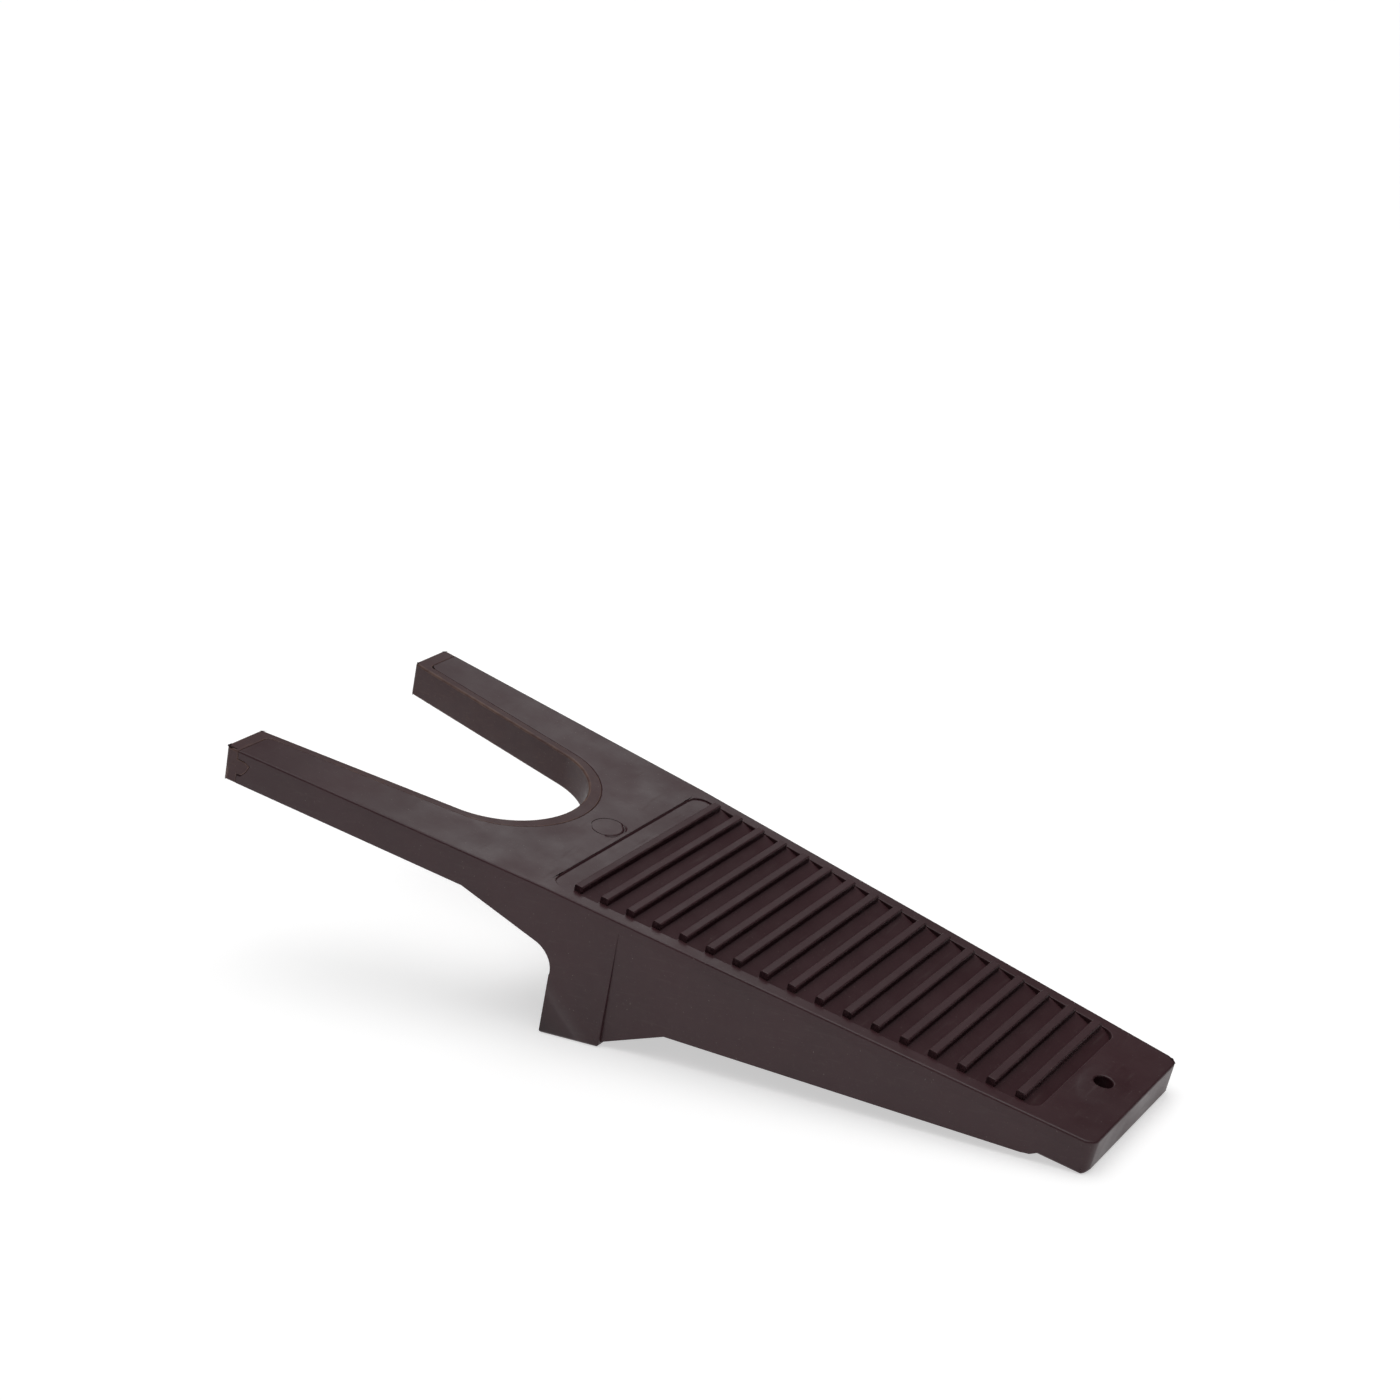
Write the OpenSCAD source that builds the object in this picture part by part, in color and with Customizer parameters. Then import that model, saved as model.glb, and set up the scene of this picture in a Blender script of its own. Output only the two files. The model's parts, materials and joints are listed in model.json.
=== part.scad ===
// Boot jack: a sloping deck with a lined heel jaw, a ribbed tread and a prop leg.
// Deck coordinates: x runs from the fork tips to the tail, y across, z out of the tread.
// The finished part stands on z = 0 with +X towards the tail.

/* [Deck] */
// Length of the deck, fork tips to tail
deck_len = 328; // [310:1:345]
// Half width of the deck at the fork tips
fork_half_w = 61; // [58:0.5:66]
// Half width of the deck at the tail
tail_half_w = 32; // [30:0.5:36]
// Slope of the tread above the floor, degrees
tread_slope = 13; // [11:0.5:14]
// How much the head droops from the tread's plane, degrees
head_droop = 1.2; // [0:0.1:2]
// Where the head bends away from the tread
head_bend_x = 129.5; // [128:0.5:131]
// Depth of the mould parting line below the deck
parting_depth = 4.2; // [3:0.1:6]

/* [Jaw] */
// Radius of the heel seat
jaw_r = 31; // [27:0.5:33]
// Centre of the heel seat, from the fork tips
jaw_x = 75.5; // [70:0.5:80]
// Flare of the jaw's sides, degrees
jaw_flare = 8.6; // [7:0.2:10]
// Thickness of the arms and head
arm_t = 13.4; // [12:0.1:15]
// Thickness of the liner beside the arms
liner_side_t = 3; // [2:0.25:4]
// Extra thickness of the liner behind the heel
liner_back_extra = 2; // [0:0.25:3]
// Length of arm that the liner's tip caps cover
tip_cap_len = 5.6; // [4:0.2:8]
// Reach of the key that locks each tip cap to its arm
key_reach = 5.2; // [4:0.2:7]

/* [Tread] */
// Number of grip bars
bar_count = 17; // [12:1:17]
// Distance from one grip bar to the next
bar_pitch = 10; // [9:0.25:10]
// Centre of the first grip bar, from the fork tips
first_bar_x = 139.9; // [139:0.1:141]
// Width of a grip bar
bar_w = 3.2; // [2.5:0.1:4]
// Height of a grip bar above the deck
bar_h = 2; // [1.5:0.1:3]
// Depth of a grip bar's foot below the deck
bar_foot = 4.2; // [3.5:0.1:4.6]
// Side rim of the deck outside the tread pocket
rim_w = 5; // [4.5:0.25:6]
// Gap between the end of a grip bar and the rim
bar_end_gap = 1.3; // [1:0.1:2]
// Depth of each channel where it starts behind a bar
channel_shallow = 0.4; // [0.2:0.1:0.8]
// Depth of each channel where it meets the next bar
channel_deep = 2.4; // [1.5:0.1:2.8]

/* [Leg and skirts] */
// Front face of the leg, from the fork tips
leg_x = 138.3; // [137:0.1:139]
// Length of the leg along the deck
leg_len = 22.5; // [20:0.5:26]
// Fillet between the head's underside and the leg
leg_fillet_r = 9.5; // [6:0.5:12]
// Draft of the leg's and arms' sides, degrees
leg_draft = 1.7; // [1:0.1:2]
// Draft of the skirts' sides, degrees
skirt_draft = 3.4; // [2.5:0.1:4]
// Thickness of the tail block
tail_t = 12.5; // [11:0.25:14]
// Radius of the tail's upright corners
tail_corner_r = 4.5; // [3:0.5:6]
// Radius under the tail
tail_under_r = 2.5; // [1.5:0.25:3]

/* [Underside] */
// Thickness of the deck plate
plate_t = 6.2; // [5.8:0.1:7]
// Thickness of the arms' top wall
arm_plate_t = 3.5; // [3:0.1:4.5]
// Thickness of the outer walls
wall_t = 3.4; // [2.8:0.1:4]
// Thickness of the stiffening ribs
rib_t = 2.2; // [1.6:0.1:3]
// Distance between stiffening ribs
rib_step = 20; // [16:1:24]

/* [Hanging hole and gate mark] */
// Radius of the hanging hole
hole_r = 3.15; // [2.5:0.05:4]
// Centre of the hanging hole, from the fork tips
hole_x = 315.6; // [315:0.1:318]
// Radius of the ring left by the mould's gate
gate_r = 6.1; // [5:0.1:7]
// Centre of the gate ring, from the fork tips
gate_x = 122.1; // [121:0.1:122.5]

/* [Hidden] */
$fn = 96;
far = 400;
eps = 0.01;
// Arcs overshoot the lines they round by this much, so that they cross them cleanly
graze = 0.02;

plan_taper = (fork_half_w - tail_half_w) / deck_len;
taper_a = atan(plan_taper);
tip_corner_r = 2.4;
tip_inner_r = 2;
cap_fillet_r = 2.5;
key_depth = 3.3;

liner_r = jaw_r + liner_side_t;
liner_x = jaw_x + liner_back_extra;

// Side profile, in deck coordinates
head_drop = head_bend_x * tan(head_droop);
brow_x = 100.5;
brow_slope = 14;
leg_back_x = leg_x + leg_len;
leg_back_z = -48.9;
knee_x = 183;
knee_z = -35;
skirt_end_x = 309.5;
skirt_end_z = -14;
tail_block_x = 311.5;
below_floor_z = -75;

// Tread pocket
pocket_x0 = 130.2;
last_bar_x = first_bar_x + bar_pitch * (bar_count - 1);
pocket_x1 = last_bar_x + bar_w / 2 + 5;
pocket_r = 4.5;
strip_depth = 0.6;
bar_edge = 0.4;

// Hollow underside
arm_cell_x0 = tip_cap_len + key_reach + 3;
arm_cell_x1 = jaw_x + 4;
head_cell_x0 = liner_x + liner_r + wall_t;
head_cell_x1 = leg_x - 1;
skirt_cell_x1 = 306;
gate_groove_w = 0.35;
gate_groove_d = 0.25;

// Ledge left by the mould along the parting line
leg_step = 0.05;
skirt_step = 0.15;

// Place on the floor: the tail's lower edge touches z = 0 and x is centred
tail_low_x = deck_len - tail_under_r + graze;
tail_low_z = tail_under_r - graze - tail_t;
lift = tail_low_x * sin(tread_slope) - tail_low_z * cos(tread_slope) + tail_under_r;
tip_low_z = -head_drop - arm_t / cos(head_droop);
x_min = tip_low_z * sin(tread_slope);
x_max = deck_len * cos(tread_slope);
x_shift = -(x_min + x_max) / 2;

BARS = [for (i = [1 : bar_count]) str("grip_bar_", i < 10 ? "0" : "", i)];

function side_y(x) = fork_half_w - plan_taper * x;
function head_z(x) = -max(head_bend_x - x, 0) * tan(head_droop);
function bar_x(i) = first_bar_x + bar_pitch * (i - 1);

// Stands deck coordinates on the floor
module on_floor() {
    translate([x_shift, 0, lift]) rotate([0, tread_slope, 0]) children();
}

// Extrudes an outline drawn in x and z across the whole width
module across(width = 2 * far) {
    rotate([90, 0, 0]) linear_extrude(width, center = true) children();
}

// Extrudes a plan drawn in x and y through the whole height
module through() {
    linear_extrude(2 * far, center = true) children();
}

module both_sides() {
    children();
    mirror([0, 1, 0]) children();
}

// What a corner loses when it is rounded: all that lies outside the arc, towards both sides
module corner_waste(centre, r, side_a, side_b) {
    difference() {
        polygon([centre, centre + 3 * r * side_a, centre + 3 * r * (side_a + side_b),
            centre + 3 * r * side_b]);
        translate(centre) circle(r);
    }
}

// Plan that follows the deck's taper at an inset, with rounded corners at both ends
module tapered(x0, x1, inset, r0, r1) {
    y0 = side_y(x0) - inset;
    y1 = side_y(x1) - inset;
    out = [sin(taper_a), cos(taper_a)];
    difference() {
        polygon([[x0, y0], [x1, y1], [x1, -y1], [x0, -y0]]);
        both_sides() {
            if (r0 > 0) corner_waste(corner_centre(x0, r0 - graze, inset, r0), r0, [-1, 0], out);
            if (r1 > 0) corner_waste(corner_centre(x1, graze - r1, inset, r1), r1, [1, 0], out);
        }
    }
}

function corner_centre(x, step, inset, r) =
    [x + step, side_y(x + step) - inset - (r - graze) / cos(taper_a)];

// Round heel seat with flared sides that run out past the fork tips
module jaw_shape(x, r, mouth_x = -20) {
    tangent = [x + (r - graze) * sin(jaw_flare), (r - graze) * cos(jaw_flare)];
    mouth = [mouth_x, jaw_side_y(x, r - graze, mouth_x)];
    translate([x, 0]) circle(r);
    polygon([mouth, tangent, [tangent[0], -tangent[1]], [mouth_x, -mouth[1]]]);
}

function jaw_side_y(x, r, at) =
    r * cos(jaw_flare) + (x + r * sin(jaw_flare) - at) * tan(jaw_flare);

// Patch in front of a rounded corner between a square-cut edge at x and a flared jaw side
module fork_corner(x, seat_x, seat_r, r) {
    cx = x + r - graze;
    cy = jaw_side_y(seat_x, seat_r - graze, cx) + (r - graze) / cos(jaw_flare);
    both_sides() corner_waste([cx, cy], r, [-1, 0], -[sin(jaw_flare), cos(jaw_flare)]);
}

// Plan of everything that the liner takes from the deck: jaw strip, tip caps, fillets
module liner_zone() {
    jaw_shape(liner_x, liner_r);
    translate([-far, -far]) square([far + tip_cap_len, 2 * far]);
    fork_corner(tip_cap_len, liner_x, liner_r, cap_fillet_r);
}

// Side outline of the whole jack: deck on top, arms, leg, skirts and tail below
module side_outline() {
    brow_z = head_z(brow_x) - arm_t / cos(head_droop);
    leg_top_z = brow_z - (leg_x - brow_x) * tan(brow_slope);
    near = leg_fillet_r - graze;
    centre = [leg_x - near, leg_top_z + near * (tan(brow_slope) - 1 / cos(brow_slope))];
    difference() {
        polygon([
            [0, -head_drop], [head_bend_x, 0], [deck_len, 0],
            [deck_len, -tail_t], [tail_block_x, -tail_t], [skirt_end_x, skirt_end_z],
            [knee_x, knee_z], [leg_back_x, leg_back_z],
            [leg_back_x, below_floor_z], [leg_x, below_floor_z], [leg_x, centre[1]],
            centre, centre + near * [sin(brow_slope), cos(brow_slope)],
            [brow_x, brow_z], [0, tip_low_z],
        ]);
        translate(centre) circle(leg_fillet_r);
    }
}

// Everything but the waste under the tail's rounded lower edge, seen from the side
module tail_outline() {
    difference() {
        translate([-far, -far]) square(2 * far);
        corner_waste([tail_low_x, tail_low_z], tail_under_r, [1, 0], [0, -1]);
    }
}

// Arrow-shaped keys that the tip caps push into the arms, seen from the side
module key_outline() {
    top_z = head_z(tip_cap_len) - key_depth;
    polygon([
        [tip_cap_len - 1, top_z], [tip_cap_len + 0.65 * key_reach, top_z - 0.2],
        [tip_cap_len + key_reach, top_z - 1], [tip_cap_len + 0.75 * key_reach, top_z - 3.9],
        [tip_cap_len + 0.4 * key_reach, top_z - 6], [tip_cap_len - 1, top_z - 6.4],
    ]);
}

// Slabs outside the drafted side walls from x0 to x1, a small step in from the parting line
module draft_cut(draft, x0, x1, step) {
    intersection() {
        both_sides()
            translate([0, fork_half_w - step, -parting_depth]) rotate([-draft, 0, -taper_a])
                translate([-far, 0, -far]) cube([3 * far, far, 2 * far]);
        translate([x0, -far, -far - parting_depth]) cube([x1 - x0, 2 * far, far]);
    }
}

// The whole jack as one solid block, before the liner, pocket and hollows are taken out
module blank() {
    intersection() {
        difference() {
            intersection() {
                across() side_outline();
                across() tail_outline();
                through() tapered(0, deck_len, 0, tip_corner_r, tail_corner_r);
            }
            draft_cut(leg_draft, -50, leg_back_x, leg_step);
            draft_cut(skirt_draft, leg_back_x, far, skirt_step);
        }
        floor_space();
    }
}

// Everything above the floor, in deck coordinates
module floor_space() {
    rotate([0, -tread_slope, 0]) translate([0, 0, -lift])
        translate([-far, -far, 0]) cube([3 * far, 2 * far, far]);
}

// Channels between the grip bars, each deepest against the next bar
module channel_profile() {
    first_side = first_bar_x - bar_w / 2;
    polygon([[pocket_x0, 1], [pocket_x0, -strip_depth], [first_side, -strip_depth], [first_side, 1]]);
    for (i = [1 : bar_count]) {
        x0 = bar_x(i) - bar_w / 2 - eps;
        x1 = bar_x(i) + bar_w / 2;
        x2 = i < bar_count ? bar_x(i + 1) - bar_w / 2 : pocket_x1;
        polygon([
            [x0, 1], [x0, -channel_shallow], [x1, -channel_shallow],
            [x2, -channel_deep], [x2, 1],
        ]);
    }
}

module tread_pocket() {
    intersection() {
        across() channel_profile();
        through() tapered(pocket_x0, pocket_x1, rim_w, pocket_r, pocket_r);
    }
}

// Seat of one grip bar, cut square into the deck plate
module bar_slot(i) {
    half = side_y(bar_x(i)) - rim_w - bar_end_gap;
    translate([bar_x(i) - bar_w / 2, -half, -bar_foot]) cube([bar_w, 2 * half, bar_foot + 1]);
}

// Hollow below the deck plate behind the leg, divided by stiffening ribs
module skirt_cells() {
    difference() {
        intersection() {
            through() tapered(leg_back_x, skirt_cell_x1, wall_t + 2, 2, 2);
            translate([0, -far, -far - plate_t]) cube([far, 2 * far, far]);
        }
        rib_grid(leg_back_x + rib_step, skirt_cell_x1);
    }
}

// Hollow inside the leg, open towards the floor
module leg_cells() {
    difference() {
        intersection() {
            through() tapered(leg_x + wall_t, leg_back_x - wall_t, wall_t + 2, 1, 1);
            translate([0, -far, -far - plate_t]) cube([far, 2 * far, far]);
        }
        rib_grid(far, far);
    }
}

// Hollow under the head, between the liner and the leg
module head_cells() {
    difference() {
        intersection() {
            through() tapered(head_cell_x0, head_cell_x1, wall_t + 1, 1, 1);
            translate([0, -far, -far - arm_plate_t - 1]) cube([far, 2 * far, far]);
        }
        rib_grid(far, far);
    }
}

// Lengthwise ribs at a constant spacing, and cross ribs from x0 to x1
module rib_grid(x0, x1) {
    for (y = [-2 * rib_step : rib_step : 2 * rib_step])
        translate([0, y - rib_t / 2, -far]) cube([far, rib_t, far]);
    for (x = [x0 : rib_step : x1])
        translate([x - rib_t / 2, -far, -far]) cube([rib_t, 2 * far, far]);
}

// Hollow along the underside of both arms, between the liner and the outer wall
module arm_cells() {
    difference() {
        across() polygon([
            [arm_cell_x0, -far], [arm_cell_x0, head_z(arm_cell_x0) - arm_plate_t],
            [arm_cell_x1, head_z(arm_cell_x1) - arm_plate_t], [arm_cell_x1, -far],
        ]);
        through() jaw_shape(liner_x, liner_r + wall_t);
        through() difference() {
            translate([-far, -far]) square(3 * far);
            tapered(0, deck_len, wall_t + 0.6, 0, 0);
        }
        for (x = [arm_cell_x0 + rib_step : rib_step : arm_cell_x1])
            translate([x - rib_t / 2, -far, -far]) cube([rib_t, 2 * far, 2 * far]);
    }
}

module gate_ring() {
    translate([gate_x, 0, head_z(gate_x)]) rotate([0, -head_droop, 0]) difference() {
        translate([0, 0, -gate_groove_d]) cylinder(h = 2, r = gate_r);
        translate([0, 0, -1]) cylinder(h = 4, r = gate_r - gate_groove_w);
    }
}

module body() {
    color([0.27, 0.22, 0.23]) on_floor() difference() {
        blank();
        through() liner_zone();
        across() key_outline();
        tread_pocket();
        for (i = [1 : bar_count]) bar_slot(i);
        arm_cells();
        head_cells();
        leg_cells();
        skirt_cells();
        gate_ring();
        translate([hole_x, 0, -tail_t - 1]) cylinder(h = tail_t + 2, r = hole_r);
    }
}

module jaw_liner() {
    color([0.33, 0.28, 0.27]) on_floor() difference() {
        intersection() {
            blank();
            union() {
                through() liner_zone();
                across() key_outline();
            }
        }
        through() jaw_shape(jaw_x, jaw_r);
        through() fork_corner(0, jaw_x, jaw_r, tip_inner_r);
    }
}

module grip_bar(i) {
    half = side_y(bar_x(i)) - rim_w - bar_end_gap;
    w = bar_w / 2;
    color([0.3, 0.25, 0.26]) on_floor() translate([bar_x(i), 0, 0]) across(2 * half)
        polygon([
            [-w, -bar_foot], [w, -bar_foot], [w, bar_h - bar_edge], [w - bar_edge, bar_h],
            [bar_edge - w, bar_h], [-w, bar_h - bar_edge],
        ]);
}

body();
jaw_liner();
for (i = [1 : bar_count]) grip_bar(i);
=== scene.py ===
import json
import math
import random

import bmesh
import bpy
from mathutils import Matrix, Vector
from mathutils.geometry import delaunay_2d_cdt


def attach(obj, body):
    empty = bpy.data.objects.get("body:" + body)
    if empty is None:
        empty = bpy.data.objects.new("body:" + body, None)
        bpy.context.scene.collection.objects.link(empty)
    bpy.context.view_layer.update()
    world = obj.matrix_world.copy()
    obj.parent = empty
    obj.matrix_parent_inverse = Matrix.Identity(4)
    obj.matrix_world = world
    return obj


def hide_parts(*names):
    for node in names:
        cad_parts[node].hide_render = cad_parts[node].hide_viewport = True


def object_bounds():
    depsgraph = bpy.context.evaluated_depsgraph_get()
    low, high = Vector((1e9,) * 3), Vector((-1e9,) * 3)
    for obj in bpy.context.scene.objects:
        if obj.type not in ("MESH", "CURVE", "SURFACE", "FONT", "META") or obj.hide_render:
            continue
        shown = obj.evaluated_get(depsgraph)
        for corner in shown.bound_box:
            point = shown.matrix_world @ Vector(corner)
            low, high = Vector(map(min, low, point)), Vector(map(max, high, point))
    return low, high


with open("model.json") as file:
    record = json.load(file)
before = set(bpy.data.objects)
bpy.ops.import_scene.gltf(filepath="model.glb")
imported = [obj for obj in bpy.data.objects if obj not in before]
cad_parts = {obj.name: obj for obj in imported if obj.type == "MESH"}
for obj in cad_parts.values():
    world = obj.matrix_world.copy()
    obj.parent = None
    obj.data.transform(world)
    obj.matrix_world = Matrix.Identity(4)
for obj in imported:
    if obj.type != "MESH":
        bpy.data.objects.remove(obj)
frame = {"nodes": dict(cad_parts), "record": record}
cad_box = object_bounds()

MM = 0.001

# The deck's own coordinates, in millimetres: x from the fork tips to the tail, y across,
# z out of the tread
DECK_LEN = 328.0
FORK_HALF = 61.0
TAIL_HALF = 32.0
TAIL_CORNER = 5.5
HEAD_T = 13.4
HEAD_DROOP = math.radians(1.2)
HEAD_BEND_X = 129.5
TREAD_X = 130.2
PARTING_Z = -4.2
HOLE_X = 315.6
HOLE_RADIUS = 3.3
GATE_X = 122.1
GATE_R = 6.5
TIP_CORNER = 3.0
# Middles of the tips' outer and inner round corners, and which way each corner lies
TIP_PIVOTS = ((2.4, 58.6, 1), (2.0, 44.15, -1))
TIP_STEP = math.radians(15)
BAR_END_PLAY = 0.35

# The low swell round the hanging hole
TAIL_DECK_X = 307.2
SWELL_X = 8.2
SWELL_Y = 15.0
SWELL = 0.8
SWELL_RINGS = 6
SWELL_STEPS = 48
SWELL_INNER_R = 4.4

# Round-off of the moulded edges, in millimetres
RIM_R = 0.8
SEAM_R = 0.36
KEY_R = 0.42
POCKET_R = 0.35
STRIP_R = 0.9
HOLE_R = 0.6
FOOT_R = 1.1
EDGE_R = 0.45
BAR_R = 0.14
BEVEL_MAX = 1.2
BEVEL_SEGMENTS = 3

# How near, in millimetres, an edge lies to the feature that it is counted with
ON_FACE = 0.12
STEP_ZONE = 0.45
STRIP_ZONE = 0.5
OUTLINE_ZONE = 1
HOLE_ZONE = 4
DECK_MARGIN = 5
KEY_ZONE = 6.0
FOOT_Z = 2
BAR_FOOT_Z = 0.5
# A face looks into the jaw when its normal's inward or forward part is below this
FACING = -0.1

# Cleaning of the CAD meshes, in millimetres and square millimetres
MERGE = 0.06
ON_PLANE = 0.01
FLAT = math.radians(0.6)
CREASE = math.radians(0.7)
SHARP = math.radians(35)
FACET_AREA = 45

PLASTIC_IOR = 1.37
DUST = (0.16, 0.13, 0.12, 1)

# Size in millimetres of each kind of unevenness in the finishes, and how far roughness varies
CLOUD_MM = 28
PATCH_MM = 14
WAVE_MM = 9
WEAR_MM = 5
SCUFF_MM = 1.2
STREAK_MM = 0.8
DUST_MM = 0.7
ROUGH_PLAY = 0.06

# Material slots of a piece's faces and of its rounded edges
FACE_SLOT = 0
EDGE_SLOT = 1

# How far the lighter colour shows, from 0 to 1: on faces it is wear, on rounded edges it is partly
# wear and partly a painted highlight
FACE_RUB = 0.07
# The rounded edges' lighter colour is partly wear and partly a painted highlight along the edges,
# strongest on the liner
EDGE_WEAR_AND_HIGHLIGHT = {"body_plastic": 0.05, "liner_rubber": 0.7, "grip_rubber": 0.12}

# The photographer's viewpoint
CAMERA_AZIMUTH = math.radians(33.07)
CAMERA_ELEVATION = math.radians(20.07)
CAMERA_AIM = Vector((-0.01327, 0.01866, 0.10412))
CAMERA_DISTANCE = 0.83995
CAMERA_LENS = 63.44

# Studio light
HORIZON_LIGHT = 0.06
ZENITH_LIGHT = 3.6
DOME_FOCUS = 8
FLOOR_GLOW = 0.55
FLOOR_HALF = 6.0
# Azimuth, elevation, distance, size in metres and power of the light whose sheen lies on the head
HEAD_LIGHT = (math.radians(206), math.radians(39), 1.5, 0.4, 1.35)


# ---------------------------------------------------------------- the deck's coordinates

hole = next(m for m in frame["record"]["mounts"] if m["name"] == "hanging_hole")
OUT = Vector(hole["axis"]).normalized()
ACROSS = Vector((0, 1, 0))
ALONG = ACROSS.cross(OUT)
ORIGIN = Vector(hole["pos_m"]) - ALONG * HOLE_X * MM


def to_deck(point):
    """A frame point in deck millimetres."""
    p = (Vector(point) - ORIGIN) / MM
    return Vector((p.dot(ALONG), p.y, p.dot(OUT)))


def to_frame(x, y, z):
    """A deck point in the frame, in metres."""
    return ORIGIN + (ALONG * x + ACROSS * y + OUT * z) * MM


def side_y(x):
    """Half width of the deck at x."""
    return FORK_HALF - (FORK_HALF - TAIL_HALF) * x / DECK_LEN


def top_z(x):
    """Height of the deck's top, which droops ahead of the bend."""
    return -max(HEAD_BEND_X - x, 0) * math.tan(HEAD_DROOP)


# ---------------------------------------------------------------- meshes

chance = random.Random(17)


def even_tip_corners(bm):
    """Gives the round corners of the fork tips the same evenly spaced points at every height."""
    for vert in bm.verts:
        p = to_deck(vert.co)
        for pivot_x, pivot_y, way in TIP_PIVOTS:
            x = p.x - pivot_x
            y = abs(p.y) - pivot_y
            if x < 0 and y * way > 0:
                turn = round(math.atan2(y, x) / TIP_STEP) * TIP_STEP
                radius = math.hypot(x, y)
                y = pivot_y + radius * math.sin(turn)
                vert.co = to_frame(pivot_x + radius * math.cos(turn), math.copysign(y, p.y), p.z)


def cad_mesh(node):
    """A bmesh of a CAD node in frame coordinates, with each flat face in one piece."""
    bm = bmesh.new()
    bm.from_mesh(frame["nodes"][node].data)
    if node == "jaw_liner":
        even_tip_corners(bm)
    bmesh.ops.remove_doubles(bm, verts=bm.verts, dist=MERGE * MM)
    bmesh.ops.dissolve_degenerate(bm, edges=bm.edges, dist=MERGE * MM)
    bmesh.ops.dissolve_limit(bm, angle_limit=FLAT, verts=bm.verts, edges=bm.edges)
    bmesh.ops.connect_verts_concave(bm, faces=bm.faces)
    return bm


def settle(piece):
    """Applies a piece's modifiers, and keeps its corners inside the deck's outline and top."""
    shape = piece.evaluated_get(bpy.context.evaluated_depsgraph_get())
    piece.data = bpy.data.meshes.new_from_object(shape)
    piece.modifiers.clear()
    for vert in piece.data.vertices:
        p = to_deck(vert.co)
        p.x = min(max(p.x, 0), DECK_LEN)
        p.y = math.copysign(min(abs(p.y), side_y(p.x)), p.y)
        if p.x < HEAD_BEND_X:
            p.z = min(p.z, top_z(p.x))
        vert.co = to_frame(*p)


def rounded_piece(bm, name, node, radius_of):
    """Turns bm into the piece that stands for a CAD node, its edges rounded by radius_of(edge)."""
    weight = bm.edges.layers.float.new("bevel_weight_edge")
    for face in bm.faces:
        face.smooth = True
    for edge in bm.edges:
        angle = edge.calc_face_angle()
        radius = radius_of(edge) if angle > SHARP else 0
        edge[weight] = radius / BEVEL_MAX
        between_flats = min(f.calc_area() for f in edge.link_faces) > FACET_AREA * MM * MM
        if radius == 0 and (angle > SHARP or angle > CREASE and between_flats):
            edge.smooth = False
    mesh = bpy.data.meshes.new(name)
    bm.to_mesh(mesh)
    bm.free()
    # The bevel can only use a slot that is there; dress() fills both later
    for _ in (FACE_SLOT, EDGE_SLOT):
        mesh.materials.append(None)
    piece = bpy.data.objects.new(name, mesh)
    bpy.context.scene.collection.objects.link(piece)
    bevel = piece.modifiers.new("Rounded edges", "BEVEL")
    bevel.limit_method = "WEIGHT"
    bevel.width = BEVEL_MAX * MM
    bevel.segments = BEVEL_SEGMENTS
    bevel.use_clamp_overlap = False
    bevel.miter_outer = "MITER_ARC"
    bevel.material = EDGE_SLOT
    bevel.face_strength_mode = "FSTR_ALL"
    settle(piece)
    normals = piece.modifiers.new("Flat faces", "WEIGHTED_NORMAL")
    normals.keep_sharp = True
    normals.use_face_influence = True
    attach(piece, "root")
    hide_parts(node)
    return piece


def edge_middle(edge):
    """The middle of an edge, in deck millimetres."""
    return to_deck((edge.verts[0].co + edge.verts[1].co) / 2)


def on_outline(p):
    """True at the deck's outer edge, seen from above."""
    beside = abs(p.y) > side_y(p.x) - OUTLINE_ZONE
    behind = p.x > DECK_LEN - OUTLINE_ZONE
    corner = p.x > DECK_LEN - TAIL_CORNER and abs(p.y) > side_y(p.x) - TAIL_CORNER
    return beside or behind or corner


def on_parting(p):
    """True on the mould's parting line, a small step round the sides that stays crisp."""
    return on_outline(p) and abs(p.z - PARTING_Z) < STEP_ZONE


def body_radius(edge):
    """How round an edge of the moulded body is."""
    p = edge_middle(edge)
    depth = top_z(p.x) - p.z
    if depth < ON_FACE:
        if on_outline(p):
            return RIM_R
        if p.x < TREAD_X - DECK_MARGIN:
            in_gate = math.hypot(p.x - GATE_X, p.y) < GATE_R
            return 0 if in_gate or not edge.is_convex else SEAM_R
        if abs(p.x - HOLE_X) < HOLE_ZONE and abs(p.y) < HOLE_ZONE:
            return HOLE_R
        return STRIP_R if p.x < TREAD_X + STRIP_ZONE else POCKET_R
    if not edge.is_convex:
        return 0
    if on_parting(p):
        return 0
    if to_frame(*p).z < FOOT_Z * MM:
        return FOOT_R
    if on_outline(p):
        return EDGE_R
    return 0


def faces_throat(edge, p):
    """True where one of the edge's faces looks into the jaw."""
    inward = min(f.normal.dot(ACROSS) * math.copysign(1, p.y) for f in edge.link_faces)
    forward = min(f.normal.dot(ALONG) for f in edge.link_faces)
    return min(inward, forward) < FACING


def liner_radius(edge):
    """How round an edge of the jaw's liner is: its joint with the body stays nearly sharp."""
    p = edge_middle(edge)
    depth = top_z(p.x) - p.z
    outside = abs(p.y) > side_y(p.x) - KEY_ZONE
    if not edge.is_convex or on_parting(p):
        return 0
    if outside and p.x > TIP_CORNER:
        return RIM_R if on_outline(p) and not ON_FACE < depth < HEAD_T - ON_FACE else KEY_R
    return RIM_R if on_outline(p) or faces_throat(edge, p) else SEAM_R


def bar_radius(edge):
    """How round an edge of a grip bar is."""
    return BAR_R if edge.is_convex and edge_middle(edge).z > BAR_FOOT_Z else 0


def swell(x, y):
    """How far the deck swells round the hanging hole."""
    spread = ((x - HOLE_X) / SWELL_X) ** 2 + (y / SWELL_Y) ** 2
    return SWELL * max(1 - spread, 0)


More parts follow.
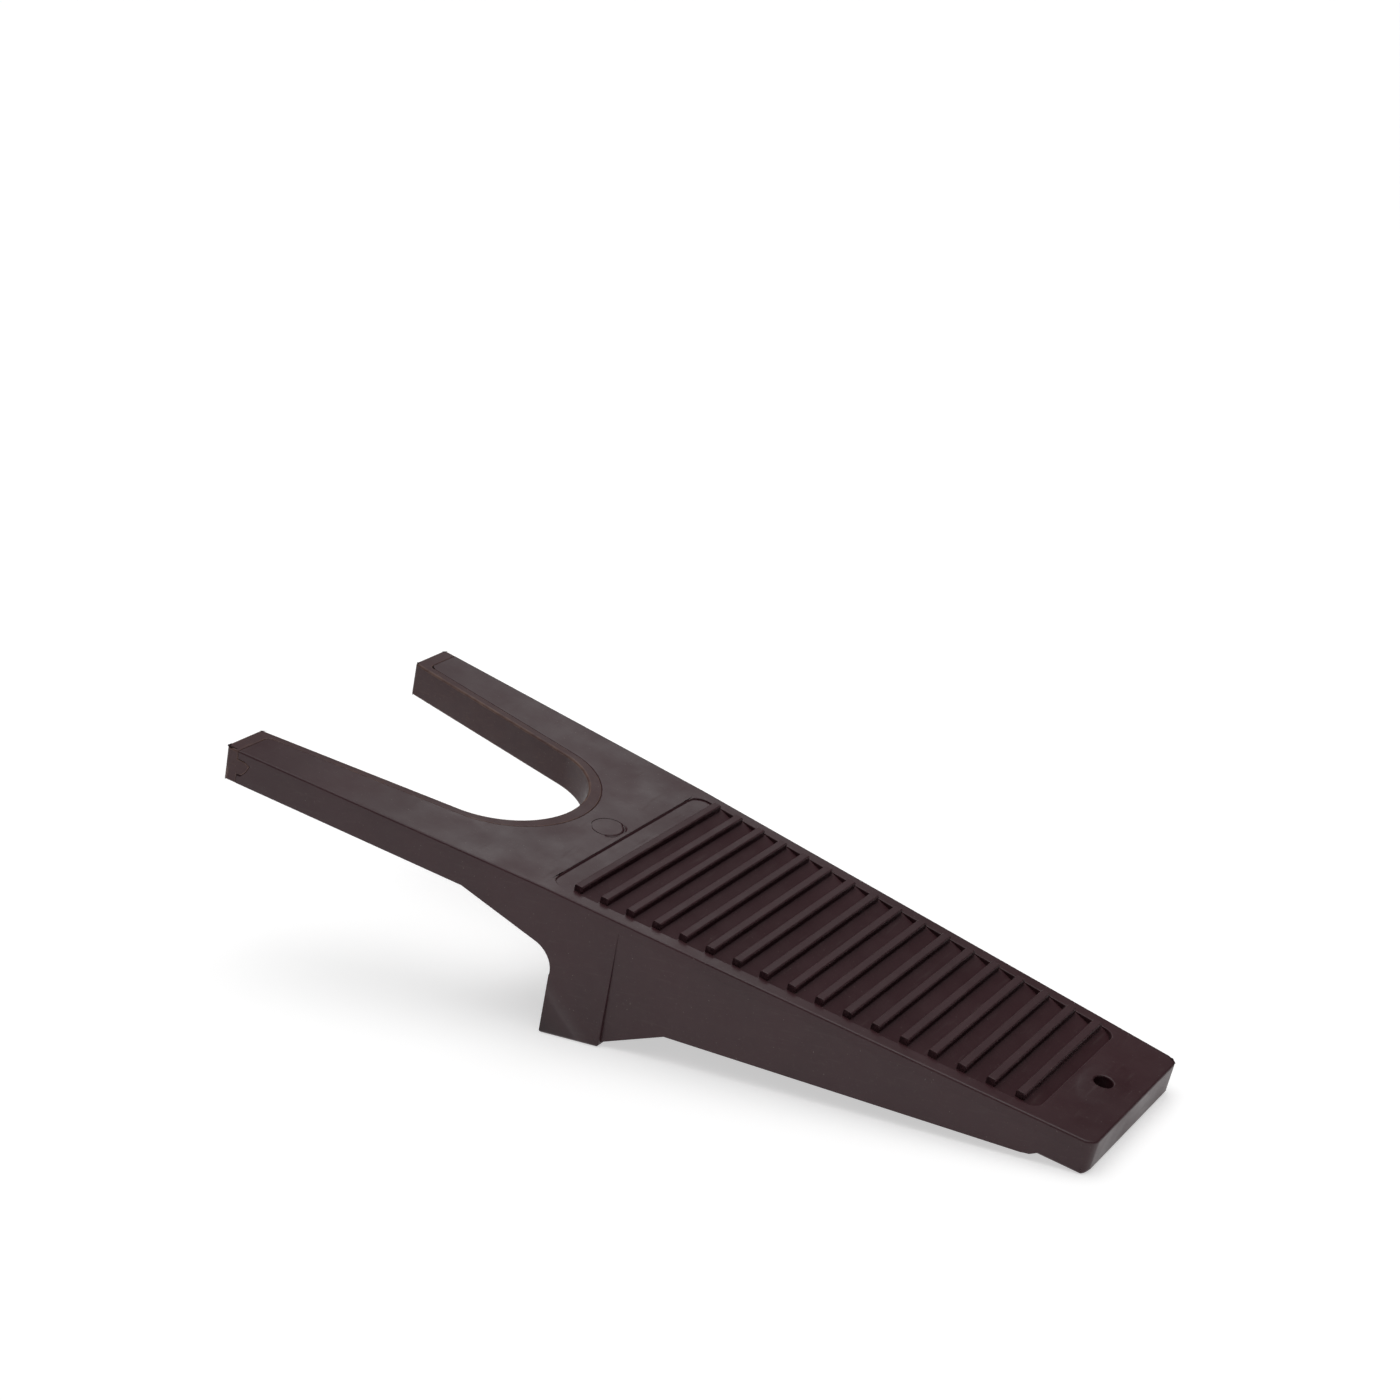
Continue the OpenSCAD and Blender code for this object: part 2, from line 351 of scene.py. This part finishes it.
def raise_swell(bm):
    """Rebuilds the tail's deck behind the tread with a low swell round the hole."""
    start = to_frame(TAIL_DECK_X, 0, 0)
    centre = Vector((HOLE_X, 0))
    bmesh.ops.bisect_plane(bm, geom=bm.verts[:] + bm.edges[:] + bm.faces[:],
                           plane_co=start, plane_no=ALONG, dist=ON_PLANE * MM)
    top = [f for f in bm.faces if f.normal.dot(OUT) > 0.999
           and all(to_deck(v.co).x > TAIL_DECK_X - ON_PLANE and to_deck(v.co).z > -ON_FACE
                   for v in f.verts)]
    rim = [e for e in bm.edges if sum(f in top for f in e.link_faces) == 1]
    bmesh.ops.delete(bm, geom=top, context="FACES")
    verts = list({v for e in rim for v in e.verts})
    places = [to_deck(v.co).xy for v in verts]
    edges = [[verts.index(v) for v in e.verts] for e in rim]
    for ring in range(SWELL_RINGS):
        spread = 1 - ring / SWELL_RINGS
        for step in range(SWELL_STEPS):
            turn = math.tau * (step + ring / 2) / SWELL_STEPS
            across = Vector((SWELL_X * math.cos(turn), SWELL_Y * math.sin(turn))) * spread
            if across.length > SWELL_INNER_R:
                places.append(centre + across)
    flat, _, faces, origins, _, _ = delaunay_2d_cdt(places, edges, [], 1, 1e-4)
    made = [verts[o[0]] if o and o[0] < len(verts) else bm.verts.new(to_frame(*p, 0))
            for p, o in zip(flat, origins)]
    for face in faces:
        if max((flat[i] - centre).length for i in face) > HOLE_RADIUS:
            bm.faces.new([made[i] for i in face])
    for vert in made:
        p = to_deck(vert.co)
        vert.co += OUT * swell(p.x, p.y) * MM
    bm.normal_update()


def body():
    bm = cad_mesh("body")
    raise_swell(bm)
    return rounded_piece(bm, "moulded_body", "body", body_radius)


def jaw_liner():
    return rounded_piece(cad_mesh("jaw_liner"), "jaw_pad", "jaw_liner", liner_radius)


def grip_bar(node):
    """A bar of the tread, its cut end a little out of true."""
    bm = cad_mesh(node)
    near_end = min(v.co.y for v in bm.verts)
    for vert in bm.verts:
        if to_deck(vert.co).z > BAR_FOOT_Z and vert.co.y < near_end + MM:
            vert.co.y += chance.uniform(0, BAR_END_PLAY) * MM
    return rounded_piece(bm, "tread_" + node[-2:], node, bar_radius)


# ---------------------------------------------------------------- materials

class Nodes:
    """Short forms for building one material's node tree."""

    def __init__(self, name):
        self.material = bpy.data.materials.new(name)
        self.material.use_nodes = True
        self.tree = self.material.node_tree
        self.shader = self.tree.nodes["Principled BSDF"]
        self.place = self.add("ShaderNodeTexCoord").outputs["Object"]

    def add(self, kind, **inputs):
        node = self.tree.nodes.new(kind)
        for key, value in inputs.items():
            self.feed(node.inputs[key.replace("_", " ")], value)
        return node

    def feed(self, socket, value):
        if isinstance(value, bpy.types.NodeSocket):
            self.tree.links.new(value, socket)
        else:
            socket.default_value = value

    def noise(self, size_mm, detail=3.0, stretch=(1, 1, 1)):
        """Noise whose features are about size_mm across, drawn out along the deck's axes."""
        turn = self.add("ShaderNodeMapping", Vector=self.place)
        turn.inputs["Rotation"].default_value = (0, -math.atan2(OUT.x, OUT.z), 0)
        turn.inputs["Scale"].default_value = [1 / s for s in stretch]
        node = self.add("ShaderNodeTexNoise", Vector=turn.outputs["Vector"])
        node.inputs["Scale"].default_value = 1 / (size_mm * MM)
        node.inputs["Detail"].default_value = detail
        return node.outputs["Fac"]

    def ramp(self, value, low, high, out_low=0.0, out_high=1.0):
        """value from low..high to out_low..out_high."""
        node = self.add("ShaderNodeMapRange", Value=value)
        node.inputs["From Min"].default_value = low
        node.inputs["From Max"].default_value = high
        node.inputs["To Min"].default_value = out_low
        node.inputs["To Max"].default_value = out_high
        return node.outputs["Result"]

    def math(self, operation, a, b=0.0):
        node = self.add("ShaderNodeMath")
        node.operation = operation
        self.feed(node.inputs[0], a)
        self.feed(node.inputs[1], b)
        return node.outputs[0]

    def mix(self, factor, a, b):
        node = self.add("ShaderNodeMix")
        node.data_type = "RGBA"
        self.feed(node.inputs["Factor"], factor)
        self.feed(node.inputs["A"], a)
        self.feed(node.inputs["B"], b)
        return node.outputs["Result"]


def colour(red, green, blue):
    """A node colour from linear red, green and blue."""
    return (red, green, blue, 1)


def moulded(name, dark, light, wear_and_highlight_colour, wear_and_highlight, rough, grain_mm, bump_mm):
    """Moulded plastic or rubber: cloudy colour, grain, scuffs, dust, and a lighter colour in
    patches as far as the given amount, which is wear on faces and partly wear, partly painted
    highlight on rounded edges.
    """
    n = Nodes(name)
    clouds = n.ramp(n.noise(CLOUD_MM, 4), 0.35, 0.65)
    base = n.mix(clouds, dark, light)
    # Lighter patches: wear, and on the rounded edges' material also a painted highlight
    wear_and_highlight_mask = n.ramp(n.noise(WEAR_MM, 3), 0.35, 0.65, wear_and_highlight * 0.3, wear_and_highlight)
    base = n.mix(wear_and_highlight_mask, base, wear_and_highlight_colour)
    scuff = n.ramp(n.noise(SCUFF_MM, 2, (1, 14, 1)), 0.62, 0.8)
    base = n.mix(n.math("MULTIPLY", scuff, 0.25), base, wear_and_highlight_colour)
    streak = n.ramp(n.noise(STREAK_MM, 2, (30, 1, 1)), 0.6, 0.8)
    base = n.mix(n.math("MULTIPLY", streak, 0.2), base, wear_and_highlight_colour)
    dust = n.ramp(n.noise(DUST_MM, 1), 0.74, 0.8)
    base = n.mix(n.math("MULTIPLY", dust, 0.5), base, DUST)
    n.feed(n.shader.inputs["Base Color"], base)
    n.feed(n.shader.inputs["IOR"], PLASTIC_IOR)
    patches = n.ramp(n.noise(PATCH_MM, 4), 0.3, 0.7,
                     rough - ROUGH_PLAY, rough + ROUGH_PLAY)
    n.feed(n.shader.inputs["Roughness"], n.math("ADD", patches, n.math("MULTIPLY", scuff, 0.12)))
    height = n.math("ADD", n.noise(grain_mm, 4), n.math("MULTIPLY", n.noise(WAVE_MM, 2), 4.0))
    bump = n.add("ShaderNodeBump", Height=height)
    bump.inputs["Distance"].default_value = bump_mm * MM
    bump.inputs["Strength"].default_value = 1.0
    n.feed(n.shader.inputs["Normal"], bump.outputs["Normal"])
    return n.material


def body_plastic(name, wear_and_highlight):
    return moulded(name, colour(0.035, 0.0110, 0.0145), colour(0.042, 0.0140, 0.0180),
                   colour(0.085, 0.060, 0.056), wear_and_highlight, 0.37, 0.5, 0.012)


def liner_rubber(name, wear_and_highlight):
    return moulded(name, colour(0.041, 0.0145, 0.0175), colour(0.050, 0.0190, 0.0215),
                   colour(0.150, 0.090, 0.068), wear_and_highlight, 0.48, 0.6, 0.020)


def grip_rubber(name, wear_and_highlight):
    return moulded(name, colour(0.035, 0.0110, 0.0145), colour(0.042, 0.0140, 0.0180),
                   colour(0.080, 0.056, 0.054), wear_and_highlight, 0.5, 0.4, 0.015)


def pale_floor():
    n = Nodes("pale_floor")
    n.feed(n.shader.inputs["Base Color"], colour(0.62, 0.62, 0.62))
    n.feed(n.shader.inputs["Roughness"], 0.9)
    n.feed(n.shader.inputs["Emission Color"], colour(1, 1, 1))
    n.feed(n.shader.inputs["Emission Strength"], FLOOR_GLOW)
    return n.material


# ---------------------------------------------------------------- the object

def dress(pieces, slot, finish):
    """Gives the pieces a finish, lighter on their rounded edges, partly from wear and partly as a
    painted highlight.
    """
    faces = finish(slot, FACE_RUB)
    edges = finish(slot + "_edges", EDGE_WEAR_AND_HIGHLIGHT[slot])
    for piece in pieces:
        piece.data.materials[FACE_SLOT] = faces
        piece.data.materials[EDGE_SLOT] = edges


bar_nodes = sorted(n for n in frame["nodes"] if n.startswith("grip_bar"))
dress([body()], "body_plastic", body_plastic)
dress([jaw_liner()], "liner_rubber", liner_rubber)
dress([grip_bar(node) for node in bar_nodes], "grip_rubber", grip_rubber)


# ---------------------------------------------------------------- floor, light and camera

def floor():
    bm = bmesh.new()
    bmesh.ops.create_grid(bm, x_segments=1, y_segments=1, size=FLOOR_HALF)
    mesh = bpy.data.meshes.new("floor")
    bm.to_mesh(mesh)
    bm.free()
    obj = bpy.data.objects.new("floor", mesh)
    bpy.context.scene.collection.objects.link(obj)
    obj.data.materials.append(pale_floor())


def direction(azimuth, elevation):
    """The way to look back from the object: azimuth 0 is in front of it, on the -Y side."""
    return Vector((math.sin(azimuth) * math.cos(elevation),
                   -math.cos(azimuth) * math.cos(elevation),
                   math.sin(elevation)))


def softbox(name, azimuth, elevation, distance, size, power):
    """A square soft light that looks at the object's middle."""
    middle = (cad_box[0] + cad_box[1]) / 2
    away = direction(azimuth, elevation)
    data = bpy.data.lights.new(name, "AREA")
    data.shape = "SQUARE"
    data.size = size
    data.energy = power
    lamp = bpy.data.objects.new(name, data)
    lamp.location = middle + away * distance
    lamp.rotation_euler = away.to_track_quat("Z", "Y").to_euler()
    bpy.context.scene.collection.objects.link(lamp)


def studio_light():
    world = bpy.data.worlds.new("studio")
    bpy.context.scene.world = world
    world.use_nodes = True
    tree = world.node_tree
    sky = tree.nodes["Background"]
    sky.inputs["Color"].default_value = (1, 1, 1, 1)
    up = tree.nodes.new("ShaderNodeSeparateXYZ")
    tree.links.new(tree.nodes.new("ShaderNodeTexCoord").outputs["Generated"], up.inputs[0])
    height = tree.nodes.new("ShaderNodeMath")
    height.operation = "POWER"
    height.use_clamp = True
    height.inputs[1].default_value = DOME_FOCUS
    tree.links.new(up.outputs["Z"], height.inputs[0])
    dome = tree.nodes.new("ShaderNodeMapRange")
    dome.inputs["To Min"].default_value = HORIZON_LIGHT
    dome.inputs["To Max"].default_value = ZENITH_LIGHT
    tree.links.new(height.outputs[0], dome.inputs["Value"])
    tree.links.new(dome.outputs["Result"], sky.inputs["Strength"])
    softbox("head_light", *HEAD_LIGHT)
    bpy.context.scene.view_settings.view_transform = "Standard"


def camera():
    away = direction(CAMERA_AZIMUTH, CAMERA_ELEVATION)
    data = bpy.data.cameras.new("camera")
    data.lens = CAMERA_LENS
    data.sensor_width = 36
    data.clip_start = 0.01
    obj = bpy.data.objects.new("camera", data)
    obj.location = CAMERA_AIM + away * CAMERA_DISTANCE
    obj.rotation_euler = away.to_track_quat("Z", "Y").to_euler()
    bpy.context.scene.collection.objects.link(obj)
    bpy.context.scene.camera = obj


floor()
studio_light()
camera()
